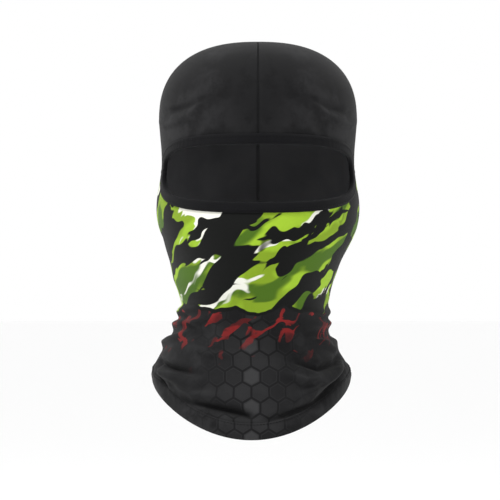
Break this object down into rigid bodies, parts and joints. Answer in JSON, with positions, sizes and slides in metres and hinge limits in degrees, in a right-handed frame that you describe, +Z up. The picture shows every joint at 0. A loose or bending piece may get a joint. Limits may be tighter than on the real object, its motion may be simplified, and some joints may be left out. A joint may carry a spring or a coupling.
{
  "type": "balaclava face mask",
  "caption": "Stretch fabric balaclava with a bound eye opening, printed lower face, seam over the crown and a draped neck with a turned hem.",
  "frame": {"origin": "midway between the ears, inside the head space, level with the line through the ears", "axes": "+Z up through the crown, +X to the right of a viewer who faces the mask, -Y out through the face"},
  "size_m": [0.169, 0.2086, 0.3332],
  "materials": {
    "hood_jersey": "matt knitted jersey, charcoal with a faint smoky print",
    "printed_jersey": "matt knitted jersey with an abstract camouflage print in green, black and off-white, dark red flecks below it and faint six-sided cells at the neck",
    "binding": "folded knitted binding, near black",
    "elastic": "covered elastic tape",
    "thread": "spun polyester sewing thread"
  },
  "bodies": {
    "hood": {"hood_left_panel": "hood_jersey", "hood_right_panel": "hood_jersey", "neck_front_panel": "printed_jersey", "brow_binding": "binding", "brow_elastic": "elastic", "brow_stitch": "thread", "crown_seam": "thread", "side_seam_left": "thread", "side_seam_right": "thread", "bottom_hem": "hood_jersey", "hem_stitch": "thread"},
    "face_cover": {"face_panel": "printed_jersey", "cheek_binding": "binding", "cheek_elastic": "elastic", "cheek_stitch": "thread"}
  },
  "joints": [
    {"name": "pull_down", "type": "hinge", "parent": "hood", "child": "face_cover", "pos_m": [0, 0.03, -0.03], "axis": [1, 0, 0], "range_deg": [0, 30], "deforming": ["face_panel"]}
  ]
}
